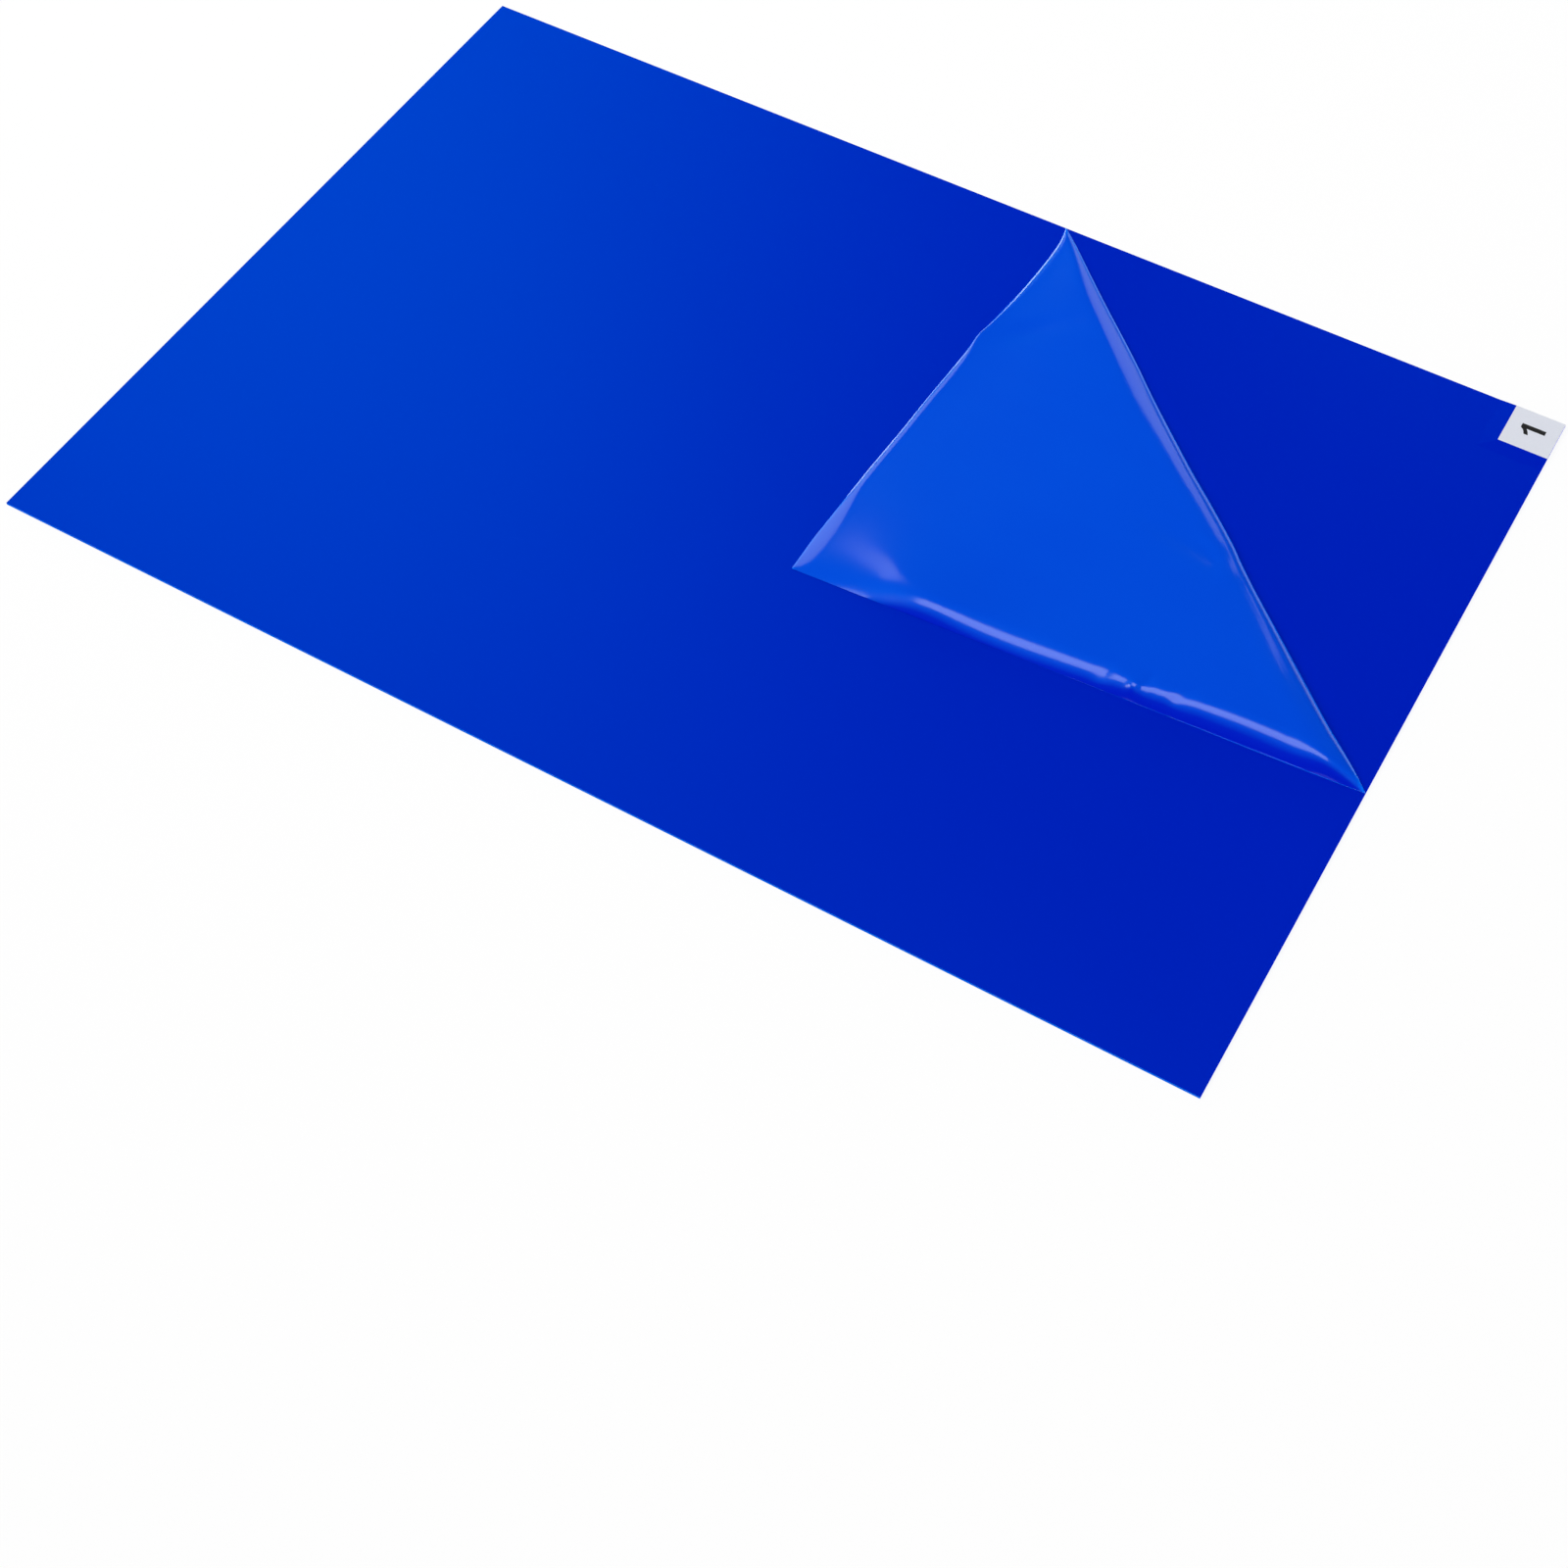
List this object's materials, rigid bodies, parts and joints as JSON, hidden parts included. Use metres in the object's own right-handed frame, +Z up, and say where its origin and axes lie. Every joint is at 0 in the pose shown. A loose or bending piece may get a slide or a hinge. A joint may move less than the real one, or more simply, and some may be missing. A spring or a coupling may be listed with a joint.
{
  "type": "cleanroom sticky mat",
  "caption": "Rectangular pad of thin blue adhesive films on a release liner, each with a number tab at one corner, under a loose cover film with its corner folded back.",
  "frame": {"origin": "centre of the underside, on the floor", "axes": "+X along the long side, +Y across to the back side, +Z up; the number tabs are at the +X +Y corner"},
  "size_m": [0.9144, 0.6096, 0.0099],
  "materials": {
    "cover_film": "gloss",
    "adhesive_film": "gloss",
    "tab_film": "satin",
    "liner_film": "satin"
  },
  "bodies": {
    "root": {"cover_film": "cover_film", "sheet_01": "adhesive_film", "sheet_02": "adhesive_film", "sheet_03": "adhesive_film", "sheet_04": "adhesive_film", "sheet_05": "adhesive_film", "sheet_06": "adhesive_film", "sheet_07": "adhesive_film", "sheet_08": "adhesive_film", "sheet_09": "adhesive_film", "sheet_10": "adhesive_film", "sheet_11": "adhesive_film", "sheet_12": "adhesive_film", "sheet_13": "adhesive_film", "sheet_14": "adhesive_film", "sheet_15": "adhesive_film", "sheet_16": "adhesive_film", "sheet_17": "adhesive_film", "sheet_18": "adhesive_film", "sheet_19": "adhesive_film", "sheet_20": "adhesive_film", "sheet_21": "adhesive_film", "sheet_22": "adhesive_film", "sheet_23": "adhesive_film", "sheet_24": "adhesive_film", "sheet_25": "adhesive_film", "sheet_26": "adhesive_film", "sheet_27": "adhesive_film", "sheet_28": "adhesive_film", "sheet_29": "adhesive_film", "sheet_30": "adhesive_film", "number_tab_01": "tab_film", "number_tabs_below": "tab_film", "release_liner": "liner_film"}
  },
  "joints": []
}
